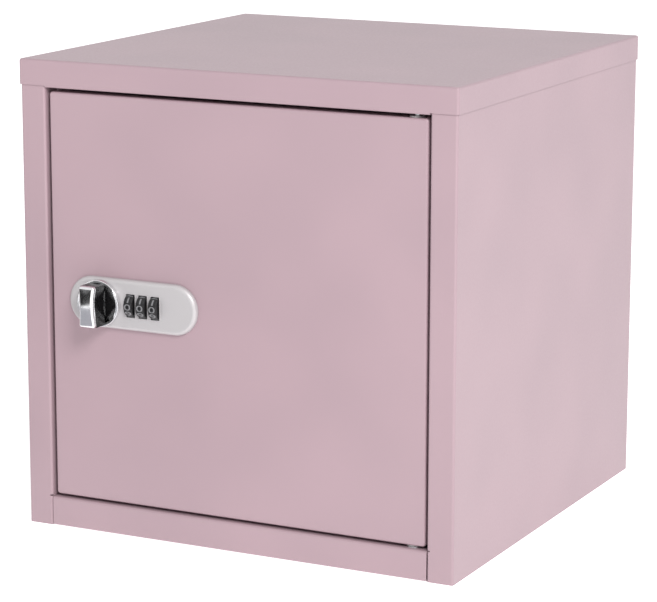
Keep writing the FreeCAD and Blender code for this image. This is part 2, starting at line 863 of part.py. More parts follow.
def lock_housing():
    """Cast body behind the door: clamping flange, wheel well with its collar and spindle bore."""
    body = new_body("lock_housing")
    low = "lock_level - {0}"
    high = "lock_level + {0}"
    skin = f"({DOOR_FACE} + gauge + fit_gap)"
    flange = rectangle("flange_left", "flange_right", low.format("flange_half"), high.format("flange_half"))
    pad(body, "XZ", skin, FLANGE_REAR, flange)
    case = rectangle("case_left", "case_right", low.format("case_half"), high.format("case_half"))
    pad(body, "XZ", skin, CASE_REAR, case)
    collar = rectangle(
        "well_left - collar_end",
        "well_right + collar_end",
        low.format("well_half - collar_wall"),
        high.format("well_half + collar_wall"),
    )
    pad(body, "XZ", f"{PLATE_FACE} + plate_skin + fit_gap", skin, collar)
    well = rectangle("well_left", "well_right", low.format("well_half"), high.format("well_half"))
    cut(body, "XZ", f"{PLATE_FACE} + plate_skin + fit_gap", CASE_REAR, well)
    drill(body, "XZ", skin, CASE_REAR, [("knob_x", "lock_level")], "spindle_radius + spindle_play")
    screws = [("lock_screw_left", "lock_level"), ("lock_screw_right", "lock_level")]
    drill(body, "XZ", skin, FLANGE_REAR, screws, "lock_screw_radius + screw_play")
    shaft = [(WHEEL_Y, "lock_level")]
    ends = ("(well_left - collar_end + plate_skin)", "(well_right + collar_end - plate_skin)")
    drill(body, "YZ", ends[0], ends[1], shaft, "shaft_radius")
    return body


def lock_rear_cover():
    """Flat cover that closes the wheel well from behind, bored for the spindle."""
    x = ("case_left", "case_right")
    z = ("lock_level - case_half", "lock_level + case_half")
    plate = box("lock_rear_cover_plate", x, (CASE_REAR, COVER_REAR), z)
    radius = "spindle_radius + spindle_play"
    name = "lock_rear_cover_bore"
    bore = cylinder(name, radius, "cover_thickness", "back", "knob_x", CASE_REAR, "lock_level")
    return less("lock_rear_cover", plate, [bore])


def lock_screws():
    """Two screws from inside the door that clamp the housing to the faceplate."""
    shank = "(flange_thickness + fit_gap + gauge + lock_screw_bite - screw_play)"
    steps = [
        ("lock_screw_head - lock_screw_chamfer", "0"),
        ("lock_screw_head", "lock_screw_chamfer"),
        ("lock_screw_head", "lock_screw_head_height"),
        ("lock_screw_radius - rivet_play", "lock_screw_head_height"),
        ("lock_screw_radius - rivet_play", f"lock_screw_head_height + {shank}"),
    ]
    members = []
    for name in ("left", "right"):
        place = f"lock_screw_{name}"
        seat = f"{FLANGE_REAR} + lock_screw_head_height"
        label = f"lock_fixing_{name}"
        members.append(turned(label, solid_outline(steps), "front", place, seat, "lock_level"))
    return group("lock_screws", members)


def wheels():
    """Three number wheels, each with its clutch sleeve, on one shaft."""
    wheel = ring_outline("sleeve_radius + wheel_play", "wheel_radius", "wheel_width")
    sleeve = ring_outline("shaft_radius + shaft_play", "sleeve_radius", "sleeve_length")
    for number in (1, 2, 3):
        left = f"{wheel_x(number)} - wheel_width / 2"
        turned(f"number_wheel_{number}", wheel, "right", left, WHEEL_Y, "lock_level")
        left = f"{wheel_x(number)} - sleeve_length / 2"
        turned(f"clutch_sleeve_{number}", sleeve, "right", left, WHEEL_Y, "lock_level")
    length = "(well_right - well_left + 2 * collar_end - 2 * shaft_setback)"
    steps = [("shaft_radius - foot_play", "0"), ("shaft_radius - foot_play", length)]
    start = "well_left - collar_end + shaft_setback"
    turned("wheel_shaft", solid_outline(steps), "right", start, WHEEL_Y, "lock_level")


def detent_spring():
    """Leaf spring behind the wheels with one rib for each, clear of them at rest."""
    body = new_body("detent_spring")
    leaf = f"({WHEEL_Y} + wheel_radius + spring_setback)"
    sides = ("well_left + spring_play", "well_right - spring_play")
    levels = ("lock_level - well_half + spring_play", "lock_level + well_half - spring_play")
    outline = rectangle(*sides, *levels)
    pad(body, "XZ", leaf, f"{leaf} + spring_thickness", outline)
    for number in (1, 2, 3):
        rib = [
            (f"{leaf} + spring_lap", "lock_level - spring_rib * 2"),
            (f"{leaf} - spring_setback + spring_play", "lock_level - spring_rib / 3"),
            (f"{leaf} - spring_setback + spring_play", "lock_level + spring_rib / 3"),
            (f"{leaf} + spring_lap", "lock_level + spring_rib * 2"),
        ]
        middle = wheel_x(number)
        pad(body, "YZ", f"{middle} - wheel_width / 3", f"{middle} + wheel_width / 3", rib)
    return body


# ---------------------------------------------------------------- knob and cam


def knob_base():
    """Chromed cup with a raised rim, bored for the spindle."""
    bore = "spindle_radius + spindle_play"
    inner = "knob_radius - knob_rim"
    shoulder = "knob_rim_height - knob_rim_chamfer"
    outline = [
        (bore, "0"),
        ("knob_radius", "0"),
        ("knob_radius", shoulder),
        ("knob_radius - knob_rim_chamfer", "knob_rim_height"),
        (f"{inner} + knob_rim_lip", "knob_rim_height"),
        (inner, shoulder),
        (inner, "knob_floor"),
        (bore, "knob_floor"),
    ]
    turned("knob_base", outline, "front", "knob_x", KNOB_REAR, "lock_level")


def knob_dish():
    """Black six-sided insert in the cup, pointed left and right and slotted for the foot of the grip."""
    body = new_body("knob_dish")
    radius = "(knob_radius - knob_rim - dish_play)"
    face = f"{KNOB_FLOOR} - dish_thickness"
    outline = [(f"knob_x + {radius}", "lock_level")]
    for across, up in ((1, 1), (-1, 1)):
        outline.append(dish_corner(radius, across, up))
    outline.append((f"knob_x - {radius}", "lock_level"))
    for across, up in ((-1, -1), (1, -1)):
        outline.append(dish_corner(radius, across, up))
    pad(body, "XZ", face, KNOB_FLOOR, outline)
    half_width = "(grip_width / 2 - grip_waist / 2 - cap_inset + dish_play)"
    half_height = "(grip_foot / 2 + dish_play)"
    slot = rectangle(
        f"knob_x - {half_width}",
        f"knob_x + {half_width}",
        f"lock_level - {half_height}",
        f"lock_level + {half_height}",
    )
    cut(body, "XZ", face, KNOB_FLOOR, slot)
    return body


def dish_corner(radius, across, up):
    """A shoulder of the insert, on the cup's wall at its angle from the level."""
    return (
        f"knob_x + {across} * {radius} * cos(dish_shoulder)",
        f"lock_level + {up} * {radius} * sin(dish_shoulder)",
    )


def draw_waisted(sketch, inset):
    """Upright bar outline: level ends and sides drawn in to a waist by one arc each."""
    half = f"(grip_width / 2 - {inset})"
    tall = f"(grip_length / 2 - {inset})"
    waist = f"(grip_width / 2 - grip_waist / 2 - {inset})"
    corners = [(1, 1), (-1, 1), (-1, -1), (1, -1)]
    places = [(f"knob_x + {a} * {half}", f"lock_level + {b} * {tall}") for a, b in corners]
    spots = [FreeCAD.Vector(size(x), size(z), 0) for x, z in places]
    middle = [FreeCAD.Vector(size(f"knob_x + {a} * {waist}"), size("lock_level"), 0) for a in (-1, 1)]
    top = sketch.addGeometry(Part.LineSegment(spots[0], spots[1]), False)
    left = sketch.addGeometry(Part.Arc(spots[1], middle[0], spots[2]), False)
    low = sketch.addGeometry(Part.LineSegment(spots[2], spots[3]), False)
    right = sketch.addGeometry(Part.Arc(spots[3], middle[1], spots[0]), False)
    tie(sketch, top, 1, *places[0])
    tie(sketch, top, 2, *places[1])
    tie(sketch, low, 1, *places[2])
    tie(sketch, low, 2, *places[3])
    for arc, line_a, line_b in ((left, top, low), (right, low, top)):
        for line, vertex in ((line_a, 2), (line_b, 1)):
            point = sketch.getPoint(line, vertex)
            first = 1 if sketch.getPoint(arc, 1).distanceToPoint(point) < SAME_PLACE else 2
            sketch.addConstraint(Sketcher.Constraint("Coincident", line, vertex, arc, first))
    bow = f"(({tall} * {tall} + grip_waist * grip_waist / 4) / grip_waist)"
    for arc in (left, right):
        tie_radius(sketch, arc, bow)


def grip_cap():
    """Chromed cap on the face of the grip."""
    body = new_body("grip_cap")
    face = f"({PLATE_FACE} - grip_rise)"
    extrude(body, "Pad", "XZ", face, f"{face} + cap_depth", lambda sketch: draw_waisted(sketch, "0"))
    return body


def knob_grip():
    """Upright waisted bar behind its cap; a shorter foot under it stands on the cup's floor."""
    body = new_body("knob_grip")
    face = f"({PLATE_FACE} - grip_rise + cap_depth)"
    heel = f"({KNOB_REAR} - knob_rim_height - fit_gap)"
    extrude(body, "Pad", "XZ", face, heel, lambda sketch: draw_waisted(sketch, "cap_inset"))
    half = "(grip_width / 2 - grip_waist / 2 - cap_inset)"
    foot = rectangle(
        f"knob_x - {half}", f"knob_x + {half}", "lock_level - grip_foot / 2", "lock_level + grip_foot / 2"
    )
    pad(body, "XZ", heel, f"{KNOB_FLOOR} - foot_play", foot)
    return body


def lock_spindle():
    """Spindle from the knob through the housing, stepped down to carry the cam."""
    shoulder = f"({CAM_FRONT} - {KNOB_FLOOR} - foot_play)"
    steps = [
        ("spindle_radius", "0"),
        ("spindle_radius", shoulder),
        ("spindle_thread", shoulder),
        ("spindle_thread", f"{shoulder} + spindle_tail - pin_chamfer"),
        ("spindle_thread - pin_chamfer", f"{shoulder} + spindle_tail"),
    ]
    spindle = turned("lock_spindle", solid_outline(steps), "front", "knob_x", KNOB_FLOOR, "lock_level")
    back = FreeCAD.Rotation(FreeCAD.Vector(1, 0, 0), -90)
    spindle.Placement = FreeCAD.Placement(spindle.Placement.Base, back)
    doc.recompute()


def is_corner(box):
    """An edge that runs front to back."""
    return box.YLength > SAME_PLACE and box.XLength < SAME_PLACE and box.ZLength < SAME_PLACE


def cam():
    """Flat cam with a round tip, hanging down in the unlocked position."""
    body = new_body("cam")
    half = "cam_width / 2"
    blade = rectangle(
        f"knob_x - {half}", f"knob_x + {half}", "lock_level - cam_reach", f"lock_level + {half}"
    )
    pad(body, "XZ", CAM_FRONT, CAM_REAR, blade)
    round_edges(body, f"{half} - cam_tip_flat", is_corner)
    drill(body, "XZ", CAM_FRONT, CAM_REAR, [("knob_x", "lock_level")], "spindle_thread + wheel_play")
    return body


def cam_washer():
    outline = ring_outline("spindle_thread + wheel_play", "washer_radius", "washer_thickness")
    turned("cam_washer", outline, "front", "knob_x", f"{CAM_REAR} + washer_thickness", "lock_level")


def cam_nut():
    """Hexagon nut that holds the cam on the spindle."""
    nut = doc.addObject("Part::Prism", "cam_nut_prism")
    nut.Polygon = 6
    nut.setExpression("Circumradius", bound("nut_across / 2 / cos(30)"))
    nut.setExpression("Height", bound("nut_height"))
    nut.Placement.Rotation = FreeCAD.Rotation(FreeCAD.Vector(1, 0, 0), -90)
    seat = f"{CAM_REAR} + washer_thickness"
    for axis, text in (("x", "knob_x"), ("y", seat), ("z", "lock_level")):
        nut.setExpression(f".Placement.Base.{axis}", bound(text))
    radius = "spindle_thread + wheel_play"
    bore = cylinder("cam_nut_bore", radius, "nut_height", "back", "knob_x", seat, "lock_level")
    return less("cam_nut", nut, [bore])


# ---------------------------------------------------------------- checks and export

NODES = [
    "top_panel",
    "left_side_panel",
    "right_side_panel",
    "bottom_panel",
    "back_panel",
    "back_panel_rivets",
    "strike_plate",
    "door_bumpers",
    "upper_hinge_bracket",
    "lower_hinge_bracket",
    "upper_hinge_pin",
    "lower_hinge_pin",
    "lower_hinge_washer",
    "hinge_rivets",
    "door_skin",
    "door_stiffener",
    "upper_hinge_bush",
    "lower_hinge_bush",
    "lock_faceplate",
    "lock_housing",
    "lock_rear_cover",
    "lock_screws",
    "wheel_shaft",
    "detent_spring",
    "number_wheel_1",
    "number_wheel_2",
    "number_wheel_3",
    "clutch_sleeve_1",
    "clutch_sleeve_2",
    "clutch_sleeve_3",
    "knob_base",
    "knob_dish",
    "knob_grip",
    "grip_cap",
    "lock_spindle",
    "cam",
    "cam_washer",
    "cam_nut",
]


def check_and_export():
    """Stop on any failed object or unsound shape, then write one STEP file for each sub-part."""
    doc.recompute()
    for item in doc.Objects:
        if {"Invalid", "Error"} & set(item.State):
            raise RuntimeError(f"{item.Label}: {item.State}")
    found = {item.Label: item for item in doc.Objects}
    os.makedirs("parts", exist_ok=True)
    for name in NODES:
        shape = found[name].Shape
        if shape.isNull() or not shape.isValid():
            raise RuntimeError(f"{name}: its shape is not sound")
        print(name, len(shape.Solids), round(shape.Volume, 1), shape.BoundBox)
        shape.exportStep(f"parts/{name}.step")


dims = fill_sheet()
top_panel()
side_panel("left_side_panel", -1, True)
side_panel("right_side_panel", 1, False)
bottom_panel()
back_panel()
back_rivets()
strike_plate()
door_bumpers()
hinge()
door_skin()
door_stiffener()
lock_faceplate()
lock_housing()
lock_rear_cover()
lock_screws()
wheels()
detent_spring()
knob_base()
knob_dish()
knob_grip()
grip_cap()
lock_spindle()
cam()
cam_washer()
cam_nut()
check_and_export()
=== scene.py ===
import math

import bmesh
import bpy
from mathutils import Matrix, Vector


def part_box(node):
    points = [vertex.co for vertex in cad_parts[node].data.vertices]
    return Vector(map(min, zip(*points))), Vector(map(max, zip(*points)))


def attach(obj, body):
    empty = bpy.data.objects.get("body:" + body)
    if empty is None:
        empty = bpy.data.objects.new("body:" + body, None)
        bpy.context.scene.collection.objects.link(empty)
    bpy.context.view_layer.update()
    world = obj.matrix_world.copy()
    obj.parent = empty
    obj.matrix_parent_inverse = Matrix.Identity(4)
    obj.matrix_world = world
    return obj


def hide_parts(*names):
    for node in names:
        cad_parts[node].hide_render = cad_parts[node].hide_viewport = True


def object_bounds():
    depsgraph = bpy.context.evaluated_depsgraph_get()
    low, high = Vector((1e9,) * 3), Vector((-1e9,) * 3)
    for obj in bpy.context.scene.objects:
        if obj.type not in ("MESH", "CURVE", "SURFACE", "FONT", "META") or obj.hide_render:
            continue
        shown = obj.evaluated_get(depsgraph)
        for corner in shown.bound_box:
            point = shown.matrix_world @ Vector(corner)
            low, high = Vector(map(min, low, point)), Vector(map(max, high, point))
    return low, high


bl_info = {
    "name": "Combination Cube Locker",
    "version": (1, 0, 0),
    "blender": (4, 5, 0),
    "location": "View3D > Sidebar > Locker",
    "description": "Builds the visible pieces and finishes of a powder-coated cube locker",
    "category": "Add Mesh",
}

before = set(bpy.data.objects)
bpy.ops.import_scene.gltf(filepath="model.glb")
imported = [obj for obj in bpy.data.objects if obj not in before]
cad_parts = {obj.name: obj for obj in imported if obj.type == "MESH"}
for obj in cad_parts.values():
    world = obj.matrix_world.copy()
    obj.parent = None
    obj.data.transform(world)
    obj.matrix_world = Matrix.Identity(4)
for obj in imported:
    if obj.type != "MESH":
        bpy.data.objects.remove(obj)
CAD_BOUNDS = [list(corner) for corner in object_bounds()]

MM = 0.001
QUARTER_TURN = math.radians(90)
FACING = 0.9
CLOSE = 0.1 * MM
MATERIALS = {}

# Joining and flattening of a CAD node's triangles.
MERGE_REACH = 0.002 * MM
FLAT_ANGLE = math.radians(0.5)

# Faceplate, window lips and index marks.
PLATE_EDGE = 0.15 * MM
LIP_THICKNESS = 0.4 * MM
WINDOW_WIDTH = 7.2 * MM
WINDOW_HEIGHT = 17.2 * MM
MARK_RADIUS = 0.85 * MM
MARK_DEPTH = 0.3 * MM
MARK_SQUASH = 0.8
MARK_EDGE = 0.06 * MM

# Number wheels and their digits.
WHEELS = (1, 2, 3)
WHEEL_SIDES = 80
WHEEL_BORE = 2.55 * MM
WHEEL_EDGE = 0.25 * MM
FLANK_RIM = 0.55 * MM
FLANK_STEP = 0.5 * MM
FLANK_DIP = 0.35 * MM
RIM_SHARE = 0.97
GROOVE_REACH = 0.02
DIGITS = 10
DIGIT_STRIPS = 10
DIGIT_STRETCH = 1.95
DIGIT_CAP = 0.73
DIGIT_LEAST = 0.4
DIGIT_SHARE = 0.8

# Turn knob.
CUP_SIDES = 128
SPINDLE_PLAY = 0.06 * MM
INSERT_EDGE = 0.3 * MM
GRIP_GAP = 0.1 * MM
GRIP_CUTS = 15
GRIP_FOOT = 0.76
GRIP_FACETS = 6
GRIP_SIDE = 2 * MM

# Stage. Lengths are in metres, angles in degrees; a turn is counted from straight in front to the right.
WORLD_DIFFUSE = 0.62
FLOOR_SIZE = 30.0
FLOOR_DROP = 0.0002
FLOOR_WHITE = 0.95
FLOOR_GLOW = 0.6
KEY_SIZE = 0.9
KEY_POWER = 60.0
KEY_COLOUR = (1.0, 0.985, 0.97)
KEY_TURN = 44
KEY_RISE = 34.5
KEY_REACH = 3.0
KEY_AIM = 0.17
CARD_COLOURS = (("card_black", "000000"), ("card_grey", "BCC0C6"))
# Name, finish, turn, rise, distance from the grip, width and height.
CARDS = (
    ("left_card", "card_black", -60, -5, 0.8, 1.6, 0.196),
    ("low_card", "card_grey", -35, -30, 0.22, 0.44, 0.139),
    ("right_card", "card_black", 92, 8, 1.0, 0.5, 0.5),
)
# Place in body heights to the right, in front and up, and the tilt down, roll and turn of the view.
CAMERA_PLACE = (2.606, 4.757, 1.696)
CAMERA_ANGLES = (12.11, -0.08, 26.66)
CAMERA_SENSOR = 36.0


def node_box(node):
    """A CAD node's lowest corner, highest corner and centre, in metres."""
    low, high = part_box(node)
    return low, high, (low + high) / 2


# ---------------------------------------------------------------- settings


class LockerColours(bpy.types.PropertyGroup):
    """Colours of the finishes, as sRGB hex values."""

    powder: bpy.props.StringProperty(
        name="Powder coat", description="Dusty pink coat of the steel sheet", default="A38C94"
    )
    powder_light: bpy.props.StringProperty(
        name="Powder coat, light", description="Lighter tone of the coat's slow drift", default="A78F97"
    )
    plate: bpy.props.StringProperty(
        name="Lock paint", description="Silver-grey paint of the lock's plate", default="BEBBBD"
    )
    ink: bpy.props.StringProperty(
        name="Digit ink", description="Pale ink of the digits", default="7C7C7F"
    )
    mark: bpy.props.StringProperty(
        name="Mark ink", description="Grey ink of the index marks", default="77767A"
    )
    wheel: bpy.props.StringProperty(
        name="Wheel plastic", description="Black of the number wheels", default="101012"
    )
    # Painted reflection: this black goes on the knob's insert and bar flanks in place of the dark
    # surroundings that chrome there would mirror.
    dish: bpy.props.StringProperty(
        name="Dish black, painted reflection", description="Black of the knob's insert and bar", default="0B0A0C"
    )


class LockerSizes(bpy.types.PropertyGroup):
    """Sizes that a user would change."""

    edge_round: bpy.props.FloatProperty(
        name="Sheet edge", description="Rounding that the coat leaves on cut edges",
        default=0.25 * MM, unit="LENGTH",
    )
    digit_height: bpy.props.FloatProperty(
        name="Digit height", description="Height of a digit on a number wheel",
        default=4.7 * MM, unit="LENGTH",
    )
    digit_rise: bpy.props.FloatProperty(
        name="Digit rise", description="How far the ink stands off the wheel",
        default=0.06 * MM, unit="LENGTH",
    )
    wheel_groove: bpy.props.FloatProperty(
        name="Wheel groove", description="Depth of the thumb grooves between the digits",
        default=0.3 * MM, unit="LENGTH",
    )
    window_lip: bpy.props.FloatProperty(
        name="Window lip", description="Width of the raised lip round each window",
        default=0.7 * MM, unit="LENGTH",
    )
    rim_round: bpy.props.FloatProperty(
        name="Cup rim", description="Rounding of the chromed cup's rim",
        default=0.75 * MM, unit="LENGTH",
    )
    grip_round: bpy.props.FloatProperty(
        name="Grip edges", description="Rounding of the grip's long edges",
        default=2.0 * MM, unit="LENGTH",
    )
    grip_crown: bpy.props.FloatProperty(
        name="Grip crown", description="How far the middle of the grip's face stands out",
        default=1.2 * MM, unit="LENGTH",
    )
    grip_waist: bpy.props.FloatProperty(
        name="Grip waist", description="How far each side of the grip draws in at its middle",
        default=1.2 * MM, unit="LENGTH",
    )
    camera_focal: bpy.props.FloatProperty(
        name="Focal length", description="Lens of the camera", default=149.5, unit="CAMERA"
    )


# ---------------------------------------------------------------- materials


def linear(code):
    """A linear RGBA colour from an sRGB hex value."""
    parts = [int(code[i:i + 2], 16) / 255 for i in (0, 2, 4)]
    return tuple(p / 12.92 if p <= 0.04045 else ((p + 0.055) / 1.055) ** 2.4 for p in parts) + (1.0,)


def toned(colour, share):
    """A colour with its light scaled by a share."""
    return tuple(part * share for part in colour[:3]) + (1.0,)


def add_node(tree, kind, settings=None, inputs=None, links=None):
    """One node with its settings, input values and incoming links."""
    node = tree.nodes.new(kind)
    for name, value in (settings or {}).items():
        setattr(node, name, value)
    for name, value in (inputs or {}).items():
        node.inputs[name].default_value = value
    for name, socket in (links or {}).items():
        tree.links.new(socket, node.inputs[name])
    return node


def start_material(name, **surface):
    """A Principled material with fixed surface values, and its tree, shader and object coordinates."""
    material = bpy.data.materials.new(name)
    material.use_nodes = True
    tree = material.node_tree
    shader = tree.nodes["Principled BSDF"]
    for socket, value in surface.items():
        shader.inputs[socket.replace("_", " ")].default_value = value
    place = add_node(tree, "ShaderNodeTexCoord").outputs["Object"]
    MATERIALS[name] = material
    return tree, shader, place


def grain(tree, place, size, detail=2.0, roughness=0.5):
    """Noise whose features are about size metres across."""
    return add_node(
        tree, "ShaderNodeTexNoise",
        inputs={"Scale": 1.0 / size, "Detail": detail, "Roughness": roughness},
        links={"Vector": place},
    ).outputs["Fac"]


def ramp(tree, factor, low, high, start, end):
    """Maps a factor between two positions to a number between two values."""
    return add_node(
        tree, "ShaderNodeMapRange",
        inputs={"From Min": low, "From Max": high, "To Min": start, "To Max": end},
        links={"Value": factor},
    ).outputs["Result"]


def blend_colours(tree, factor, first, second):
    """Mixes two fixed colours by a factor."""
    node = add_node(tree, "ShaderNodeMix", settings={"data_type": "RGBA"})
    node.inputs[6].default_value = first
    node.inputs[7].default_value = second
    tree.links.new(factor, node.inputs[0])
    return node.outputs[2]


def colour_by(tree, shader, factor, first, second):
    """Base colour between two fixed ones, by a factor from 0 to 1."""
    tree.links.new(blend_colours(tree, factor, first, second), shader.inputs["Base Color"])


def roughness_by(tree, shader, factor, smooth, rough, low=0.3, high=0.7):
    """Roughness between two values as a noise goes from low to high."""
    tree.links.new(ramp(tree, factor, low, high, smooth, rough), shader.inputs["Roughness"])


def bump(tree, shader, height, distance, strength=1.0):
    """Relief of a real depth in metres on the shader's normal."""
    node = add_node(
        tree, "ShaderNodeBump",
        inputs={"Strength": strength, "Distance": distance},
        links={"Height": height},
    )
    tree.links.new(node.outputs["Normal"], shader.inputs["Normal"])


def pink_powder_coat(colours):
    """Baked polyester powder coat on steel: satin, with a fine orange-peel skin."""
    tree, shader, place = start_material("pink_powder_coat", Metallic=0.0, IOR=1.5)
    drift = grain(tree, place, 90 * MM, detail=1.0)
    tone = ramp(tree, drift, 0.35, 0.65, 0.0, 1.0)
    colour_by(tree, shader, tone, linear(colours.powder), linear(colours.powder_light))
    # Real orange peel is 1 to 2 mm across and a few microns deep.
    peel = grain(tree, place, 1.6 * MM, detail=2.0)
    bump(tree, shader, peel, 0.012 * MM, 0.6)
    roughness_by(tree, shader, peel, 0.36, 0.44)


def silver_lock_paint(colours):
    """Silver-grey paint on die-cast zinc: satin, with a very fine metallic fleck."""
    tree, shader, place = start_material("silver_lock_paint", Metallic=0.25, IOR=1.5)
    # Real flake is under 0.05 mm; drawn at 0.35 mm so that it just shows.
    fleck = grain(tree, place, 0.35 * MM, detail=2.0)
    base = linear(colours.plate)
    colour_by(tree, shader, ramp(tree, fleck, 0.35, 0.65, 0.0, 1.0), toned(base, 0.9), base)
    bump(tree, shader, fleck, 0.004 * MM, 0.5)
    roughness_by(tree, shader, fleck, 0.34, 0.44)


def knob_chrome():
    """Polished chrome plate on die-cast zinc: bright, with a soft handling haze."""
    tree, shader, place = start_material("knob_chrome", Metallic=1.0)
    shader.inputs["Base Color"].default_value = linear("E6E6E8")
    haze = grain(tree, place, 5 * MM, detail=3.0)
    roughness_by(tree, shader, haze, 0.10, 0.16, low=0.35, high=0.75)


def black_dish_plastic(colours):
    """Painted reflection: deep black and half-glossy, with a soft moulded ripple, standing on the knob's
    dish and bar flanks for the dark surroundings mirrored in chrome.
    """
    tree, shader, place = start_material("black_dish_plastic", IOR=1.53)
    shader.inputs["Base Color"].default_value = linear(colours.dish)
    shader.inputs["Specular IOR Level"].default_value = 0.3
    ripple = grain(tree, place, 3 * MM)
    roughness_by(tree, shader, ripple, 0.22, 0.32)
    bump(tree, shader, ripple, 0.01 * MM, 0.3)


def black_wheel_plastic(colours):
    """Satin moulded acetal: black, with a fine spark-eroded texture."""
    tree, shader, place = start_material("black_wheel_plastic", IOR=1.48)
    grit = grain(tree, place, 0.3 * MM)
    base = linear(colours.wheel)
    colour_by(tree, shader, grit, base, toned(base, 1.6))
    roughness_by(tree, shader, grit, 0.3, 0.42)
    bump(tree, shader, grit, 0.01 * MM, 0.5)


def printed_ink(name, code):
    """Pad-printed ink: matt, slightly uneven where the pad lifted."""
    tree, shader, place = start_material(name, IOR=1.5)
    wear = grain(tree, place, 0.8 * MM, detail=3.0)
    base = linear(code)
    colour_by(tree, shader, ramp(tree, wear, 0.3, 0.6, 0.0, 1.0), toned(base, 0.75), base)
    roughness_by(tree, shader, wear, 0.5, 0.65)


def zinc_plated_steel():
    """Bright zinc plate over turned or rolled steel: fine lines and a soft blue-grey shine."""
    tree, shader, place = start_material("zinc_plated_steel", Metallic=1.0)
    clouds = grain(tree, place, 2.5 * MM, detail=3.0)
    colour_by(tree, shader, clouds, linear("A9ABAD"), linear("C6C7C9"))
    roughness_by(tree, shader, clouds, 0.22, 0.36)


def grey_nylon():
    """Moulded grey nylon: waxy, slightly translucent look kept opaque."""
    tree, shader, place = start_material("grey_nylon", IOR=1.53)
    clouds = grain(tree, place, 1.5 * MM)
    colour_by(tree, shader, clouds, linear("8E8B8C"), linear("A3A0A1"))
    roughness_by(tree, shader, clouds, 0.4, 0.5)


def sleeve_brass():
    """Turned free-cutting brass: yellow metal with fine tool marks."""
    tree, shader, place = start_material("sleeve_brass", Metallic=1.0)
    marks = grain(tree, place, 0.4 * MM)
    colour_by(tree, shader, marks, linear("B08B45"), linear("C9A65E"))
    roughness_by(tree, shader, marks, 0.25, 0.4)


def bumper_rubber():
    """Moulded black rubber: matt with a fine bloom."""
    tree, shader, place = start_material("bumper_rubber", IOR=1.52)
    bloom = grain(tree, place, 1.2 * MM)
    colour_by(tree, shader, bloom, linear("1B1B1C"), linear("2B2A2B"))
    roughness_by(tree, shader, bloom, 0.7, 0.85)


def make_materials(colours):
    """Every finish of the locker, by its name in MATERIALS."""
    pink_powder_coat(colours)
    silver_lock_paint(colours)
    knob_chrome()
    black_dish_plastic(colours)
    black_wheel_plastic(colours)
    printed_ink("digit_ink", colours.ink)
    printed_ink("mark_ink", colours.mark)
    zinc_plated_steel()
    grey_nylon()
    sleeve_brass()
    bumper_rubber()


def dress(piece, material):
    """Gives a piece one material only."""
    piece.data.materials.clear()
    piece.data.materials.append(MATERIALS[material])


# ---------------------------------------------------------------- modelling helpers


def deselect():
    bpy.ops.object.select_all(action="DESELECT")


def only(piece):
    """Makes a piece the only selected and the active object."""
    deselect()
    piece.select_set(True)
    bpy.context.view_layer.objects.active = piece


def latest(name):
    """Names the object that an operator has just added."""
    piece = bpy.context.view_layer.objects.active
    piece.name = name
    piece.data.name = name
    return piece


def edit(piece):
    only(piece)
    bpy.ops.object.mode_set(mode="EDIT")


def leave_edit():
    bpy.ops.object.mode_set(mode="OBJECT")


def pick(piece, kind, test):
    """In edit mode, selects the vertices, edges or faces whose data passes the test."""
    mesh = bmesh.from_edit_mesh(piece.data)
    bpy.context.tool_settings.mesh_select_mode = (kind == "verts", kind == "edges", kind == "faces")
    for group in (mesh.verts, mesh.edges, mesh.faces):
        for item in group:
            item.select_set(False)
    for item in getattr(mesh, kind):
        if test(item):
            item.select_set(True)
    mesh.select_flush_mode()
    bmesh.update_edit_mesh(piece.data)


def apply_all(piece):
    """Applies every modifier of a piece in order."""
    only(piece)
    for name in [modifier.name for modifier in piece.modifiers]:
        bpy.ops.object.modifier_apply(modifier=name)


def settle(piece):
    """Puts the piece's place into its mesh, so that its object sits at the origin."""
    only(piece)
    bpy.ops.object.transform_apply(location=True, rotation=True, scale=True)


def soften(piece, width, segments=2, angle=35):
    """Rounds the sharp edges by a small bevel and shades the piece smooth."""
    only(piece)
    bpy.ops.object.shade_smooth_by_angle(angle=math.radians(angle))
    bevel = piece.modifiers.new("edges", "BEVEL")
    bevel.width = width
    bevel.segments = segments
    bevel.limit_method = "ANGLE"
    bevel.angle_limit = math.radians(angle)
    bevel.use_clamp_overlap = True
    normals = piece.modifiers.new("normals", "WEIGHTED_NORMAL")
    normals.keep_sharp = True
    apply_all(piece)


def merged_copy(node, name):
    """A copy of a CAD node's mesh with its loose triangles joined into one skin."""
    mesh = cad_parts[node].data.copy()
    piece = bpy.data.objects.new(name, mesh)
    bpy.context.scene.collection.objects.link(piece)
    mesh.name = name
    edit(piece)
    bpy.ops.mesh.select_all(action="SELECT")
    bpy.ops.mesh.remove_doubles(threshold=MERGE_REACH)
    bpy.ops.mesh.dissolve_limited(angle_limit=FLAT_ANGLE)
    leave_edit()
    return piece


def joined(pieces, name):
    """Joins pieces into the first of them."""
    only(pieces[0])
    for piece in pieces[1:]:
        piece.select_set(True)
    bpy.ops.object.join()
    return latest(name)


def direction(turn, rise):
    """Unit vector at a turn to the right of straight in front and a rise, in degrees."""
    turn, rise = math.radians(turn), math.radians(rise)
    return Vector((math.cos(rise) * math.sin(turn), -math.cos(rise) * math.cos(turn), math.sin(rise)))


def fit_piece(piece, body):
    """Fastens a finished piece that no CAD node stands for to its body."""
    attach(piece, body)


def stand_for(piece, body, slot, *nodes):
    """Fastens a finished piece to its body in place of the CAD nodes it shows."""
    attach(piece, body)
    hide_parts(*nodes)


# ---------------------------------------------------------------- operators


